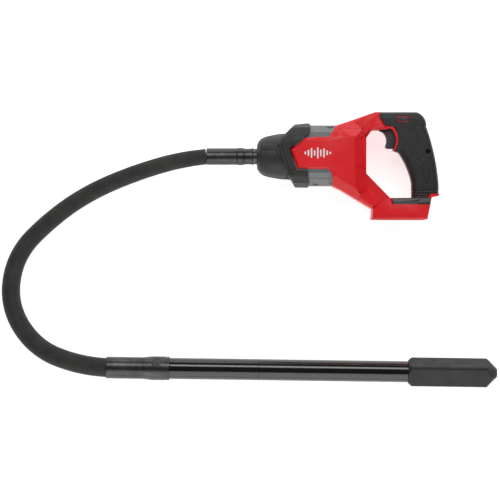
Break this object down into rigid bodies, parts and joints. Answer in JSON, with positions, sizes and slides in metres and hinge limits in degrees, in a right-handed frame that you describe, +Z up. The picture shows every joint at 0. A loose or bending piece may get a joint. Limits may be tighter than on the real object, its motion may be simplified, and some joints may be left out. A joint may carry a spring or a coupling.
{
  "type": "concrete vibrator",
  "caption": "Handheld cordless concrete vibrator: D-handled motor unit, flexible drive hose and long steel poker head with a square rubber tip.",
  "frame": {"origin": "centre of the footprint of the rigid parts, on the surface that the tool lies on", "axes": "+Z up, across the tool from its right flank to its left; +X from the hose end of the tool towards the handle and from the hose end of the head towards its tip; +Y from the battery foot towards the top of the grip"},
  "size_m": [0.8075, 0.4463, 0.096],
  "materials": {
    "red_plastic": "moulded, fine satin grain",
    "black_rubber": "overmoulded, matte",
    "dark_plastic": "moulded, matte",
    "grey_casting": "die cast and painted, satin",
    "bare_casting": "die cast",
    "blackened_steel": "blackened, satin",
    "black_tube": "glossy black",
    "steel": "ground",
    "laminations": "stacked laminations",
    "copper": "enamelled copper wire",
    "hose_rubber": "fabric-wrapped rubber, matte",
    "tip_rubber": "moulded hard rubber, matte",
    "seal_rubber": "moulded",
    "board": "solder mask",
    "lead": "insulated wire"
  },
  "bodies": {
    "root": {"housing_left": "red_plastic", "housing_right": "red_plastic", "housing_screws": "steel", "grip_left": "black_rubber", "grip_right": "black_rubber", "foot_cover_left": "dark_plastic", "foot_cover_right": "dark_plastic", "trigger_switch": "dark_plastic", "terminal_block": "dark_plastic", "contact_blades": "copper", "control_board": "board", "power_leads": "lead", "nose_boot": "black_rubber", "nose_casting": "bare_casting", "nose_screws": "steel", "front_bumper": "black_rubber", "spindle_seal": "seal_rubber", "spindle_bearing_front": "steel", "bearing_spacer": "steel", "spindle_bearing_rear": "steel", "motor_shell": "grey_casting", "front_end_plate": "bare_casting", "motor_bearing_front": "steel", "rear_end_cap": "bare_casting", "motor_bearing_rear": "steel", "damper_ring": "seal_rubber", "stator": "laminations", "windings": "copper", "hose": "hose_rubber", "hose_liner": "steel", "flexible_core": "steel", "tool_ferrule": "blackened_steel", "hose_coupling": "blackened_steel", "head_ferrule": "blackened_steel", "head_adapter": "blackened_steel", "head_bearing_rear": "steel", "rear_tube": "black_tube", "tube_joint": "steel", "head_bearing_middle": "steel", "front_tube": "black_tube", "head_bearing_front": "steel", "end_plug": "steel", "rubber_tip": "tip_rubber"},
    "rotor": {"rotor_core": "laminations", "motor_shaft": "steel", "cooling_fan": "dark_plastic", "drive_coupling": "steel", "output_spindle": "steel", "core_fitting_tool": "steel"},
    "eccentric": {"head_shaft": "steel", "eccentric_weight": "steel", "core_fitting_head": "steel"},
    "trigger": {"trigger": "dark_plastic", "trigger_plunger": "dark_plastic"},
    "lock_button": {"lock_button": "dark_plastic"}
  },
  "joints": [
    {"name": "rotor_spin", "type": "hinge", "parent": "root", "child": "rotor", "pos_m": [-0.0713, 0.1518, 0.048], "axis": [1, 0, 0], "continuous": true},
    {"name": "eccentric_spin", "type": "hinge", "parent": "root", "child": "eccentric", "pos_m": [-0.3179, -0.1912, 0.02328], "axis": [0.9999, -0.014, 0], "continuous": true},
    {"name": "trigger_pull", "type": "slide", "parent": "root", "child": "trigger", "axis": [1, 0, 0], "range_m": [0, 0.006], "stiffness_N_per_m": 600, "springref_m": -0.003},
    {"name": "lock_push", "type": "slide", "parent": "root", "child": "lock_button", "axis": [0, 0, 1], "range_m": [-0.0025, 0.0025]}
  ],
  "couplings": [
    {"joint": "eccentric_spin", "follows": "rotor_spin", "ratio": -1}
  ]
}
